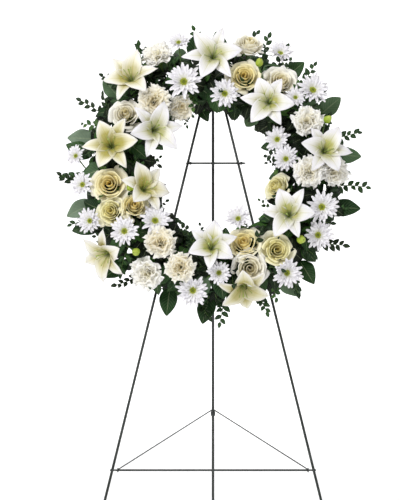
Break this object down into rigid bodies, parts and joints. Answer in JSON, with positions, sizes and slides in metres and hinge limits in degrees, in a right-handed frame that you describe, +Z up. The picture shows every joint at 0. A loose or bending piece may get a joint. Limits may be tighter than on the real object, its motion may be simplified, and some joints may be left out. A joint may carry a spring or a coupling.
{
  "type": "funeral wreath on a wire easel",
  "caption": "Ring of white and cream cut flowers and leaves in wet foam, tied to a folding three-legged wire easel.",
  "frame": {"origin": "the middle of the footprint of the three feet, on the floor", "axes": "+Z up, the wreath faces -Y, +X is to the right seen from the front"},
  "size_m": [0.7606, 0.6072, 1.4658],
  "materials": {
    "wire": "dark grey-green enamelled wire, satin",
    "tray": "dark green moulded plastic",
    "foam": "wet green floral foam, fine open cells",
    "tie": "thin green enamelled wire",
    "lily_petal": "white waxy petals with a yellow-green throat",
    "rose_petal": "cream petals, deeper yellow at the heart",
    "carnation_petal": "ruffled white petals with cream folds",
    "daisy_petal": "white petals round a green eye",
    "leaf": "dark green and grey-green leaves"
  },
  "bodies": {
    "frame": {"left_front_leg": "wire", "right_front_leg": "wire", "upper_crossbar": "wire", "lower_crossbar": "wire", "hinge_rod": "wire", "ring_tray": "tray", "foam_ring": "foam", "top_tie": "tie", "lower_left_tie": "tie", "lower_right_tie": "tie", "lily_1": "lily_petal", "lily_2": "lily_petal", "lily_3": "lily_petal", "lily_4": "lily_petal", "lily_5": "lily_petal", "lily_6": "lily_petal", "lily_7": "lily_petal", "lily_8": "lily_petal", "lily_9": "lily_petal", "lily_10": "lily_petal", "lily_11": "lily_petal", "rose_1": "rose_petal", "rose_2": "rose_petal", "rose_3": "rose_petal", "rose_4": "rose_petal", "rose_5": "rose_petal", "rose_6": "rose_petal", "rose_7": "rose_petal", "rose_8": "rose_petal", "rose_9": "rose_petal", "rose_10": "rose_petal", "rose_11": "rose_petal", "carnation_1": "carnation_petal", "carnation_2": "carnation_petal", "carnation_3": "carnation_petal", "carnation_4": "carnation_petal", "carnation_5": "carnation_petal", "carnation_6": "carnation_petal", "carnation_7": "carnation_petal", "carnation_8": "carnation_petal", "carnation_9": "carnation_petal", "daisy_spray_1": "daisy_petal", "daisy_spray_2": "daisy_petal", "daisy_spray_3": "daisy_petal", "daisy_spray_4": "daisy_petal", "daisy_spray_5": "daisy_petal", "daisy_spray_6": "daisy_petal", "daisy_spray_7": "daisy_petal", "daisy_spray_8": "daisy_petal", "daisy_spray_9": "daisy_petal", "daisy_spray_10": "daisy_petal", "daisy_spray_11": "daisy_petal", "leaf_trail_1": "leaf", "leaf_trail_2": "leaf", "leaf_trail_3": "leaf", "leaf_trail_4": "leaf", "leaf_trail_5": "leaf"},
    "back_leg": {"back_leg": "wire", "brace_stop": "wire"},
    "brace": {"brace": "wire"}
  },
  "joints": [
    {"name": "back_leg_fold", "type": "hinge", "parent": "frame", "child": "back_leg", "pos_m": [0, -0.00946, 1.34], "axis": [-1, 0, 0], "range_deg": [0, 25]},
    {"name": "brace_fold", "type": "hinge", "parent": "frame", "child": "brace", "pos_m": [0, -0.22693, 0.37411], "axis": [1, 0, 0], "range_deg": [0, 62.5]}
  ],
  "couplings": [
    {"joint": "brace_fold", "follows": "back_leg_fold", "ratio": 2.5}
  ]
}
